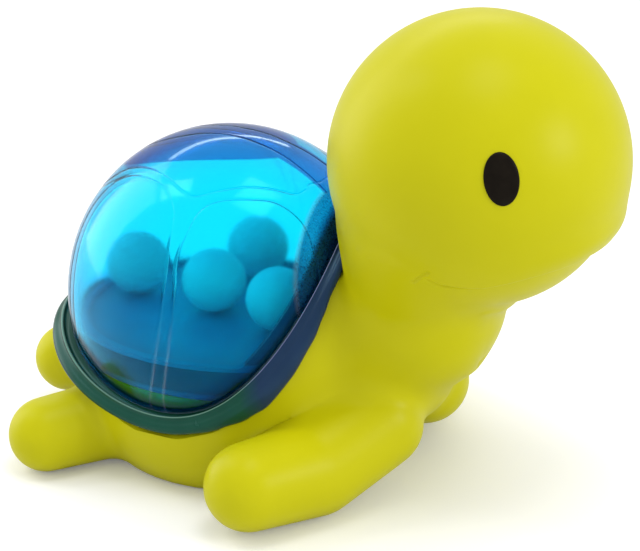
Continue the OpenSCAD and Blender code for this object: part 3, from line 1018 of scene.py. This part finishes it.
def make_ball(number):
    """A moulded ball with the thin line where its two halves meet."""
    node = f"rattle_ball_{number}"
    low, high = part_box(node)
    middle = (low + high) / 2 / MM
    piece = ball(middle, BALL_R)
    for point in piece.data.vertices:
        out = point.co - middle
        if abs(out.z) < SEAM_HALF:
            point.co = middle + out * (1 + SEAM_UP / BALL_R)
    finish_piece(f"ball_{number}_moulded", piece, f"ball_{number}", ball_white, 60, node)


make_skin()
make_eye("eye_left_inlay", 1, "eye_left")
make_eye("eye_right_inlay", -1, "eye_right")
make_dome()
make_rim()
make_tub()
for number in (1, 2, 3, 4):
    make_ball(number)
for node, slot, material in (("squeaker_cup", "squeaker_white", squeaker_white),
                             ("squeaker_shoe", "squeaker_white", squeaker_white),
                             ("squeaker_cap", "squeaker_white", squeaker_white),
                             ("squeaker_reed", "reed_film", reed_film)):
    nodes[node].data.materials.clear()
    nodes[node].data.materials.append(material)


# Floor, light and camera


def bright_for_view(tree, plain, seen):
    """A strength that is plain for the light, and seen for the camera and through clear plastic."""
    path = add_node(tree, "ShaderNodeLightPath").outputs
    looked_at = math_of(tree, "MAXIMUM", path["Is Camera Ray"], path["Is Transmission Ray"])
    return map_of(tree, looked_at, to_min=plain, to_max=seen)


def make_floor():
    """White floor that keeps the toy's shadow."""
    put_down()
    bpy.ops.mesh.primitive_circle_add(vertices=96, radius=FLOOR_PLATE_R, fill_type="NGON",
                                      location=(0, 0, FLOOR_PLATE_Z))
    floor = bpy.context.object
    floor.name = "floor"
    floor_white, tree, surface = new_material("floor_white")
    dress(tree, surface, {
        "Base Color": bright_for_view(tree, 0.78, 0.98),
        "Roughness": 0.9,
        "Specular IOR Level": 0.0,
        "Emission Color": (0.85, 0.85, 1, 1),
        "Emission Strength": bright_for_view(tree, 0.0, 0.14),
    })
    floor.data.materials.append(floor_white)


def make_world():
    """Even white light from all round."""
    world = bpy.data.worlds.new("studio")
    bpy.context.scene.world = world
    world.use_nodes = True
    tree = world.node_tree
    background = tree.nodes["Background"]
    dress(tree, background, {"Color": (1, 1, 1, 1), "Strength": bright_for_view(tree, 0.75, 1.0)})


def make_lamp(name, way, size, level, along):
    """A softbox that looks at the toy from a way off, with its first side level or along a given way."""
    back = Vector(way).normalized()
    light = bpy.data.lights.new(name, "AREA")
    light.shape = "RECTANGLE"
    light.size, light.size_y = size
    light.energy = level * math.pi * size[0] * size[1]
    lamp = bpy.data.objects.new(name, light)
    bpy.context.scene.collection.objects.link(lamp)
    lamp.location = LAMP_AIM + back * LAMP_AWAY
    side = Vector(along) if along else Vector((0, 1, 0)).cross(back)
    side = (side - back * side.dot(back)).normalized()
    lamp.rotation_euler = Matrix((side, back.cross(side), back)).transposed().to_euler()


def make_camera():
    """The camera, placed as the photograph was taken."""
    turn, rise, roll = (math.radians(angle) for angle in (CAMERA_TURN, CAMERA_RISE, CAMERA_ROLL))
    lens = bpy.data.cameras.new("camera")
    camera = bpy.data.objects.new("camera", lens)
    bpy.context.scene.collection.objects.link(camera)
    back = Vector((math.sin(turn) * math.cos(rise), -math.cos(turn) * math.cos(rise), math.sin(rise)))
    level = Vector((math.cos(turn), math.sin(turn), 0))
    upright = back.cross(level)
    across = level * math.cos(roll) + upright * math.sin(roll)
    upward = upright * math.cos(roll) - level * math.sin(roll)
    camera.matrix_world = (Matrix.Translation(CAMERA_TARGET * MM + back * CAMERA_AWAY)
                           @ Matrix((across, upward, back)).transposed().to_4x4())
    lens.sensor_width = SENSOR_MM
    lens.lens = SENSOR_MM * FOCAL_LENGTH_PX / PICTURE_WIDTH_PX
    lens.clip_start = 0.01
    lens.clip_end = 20
    bpy.context.scene.camera = camera


make_floor()
make_world()
for name, settings in LAMPS.items():
    make_lamp(name, *settings)
make_camera()
bpy.context.scene.view_settings.view_transform = "Standard"
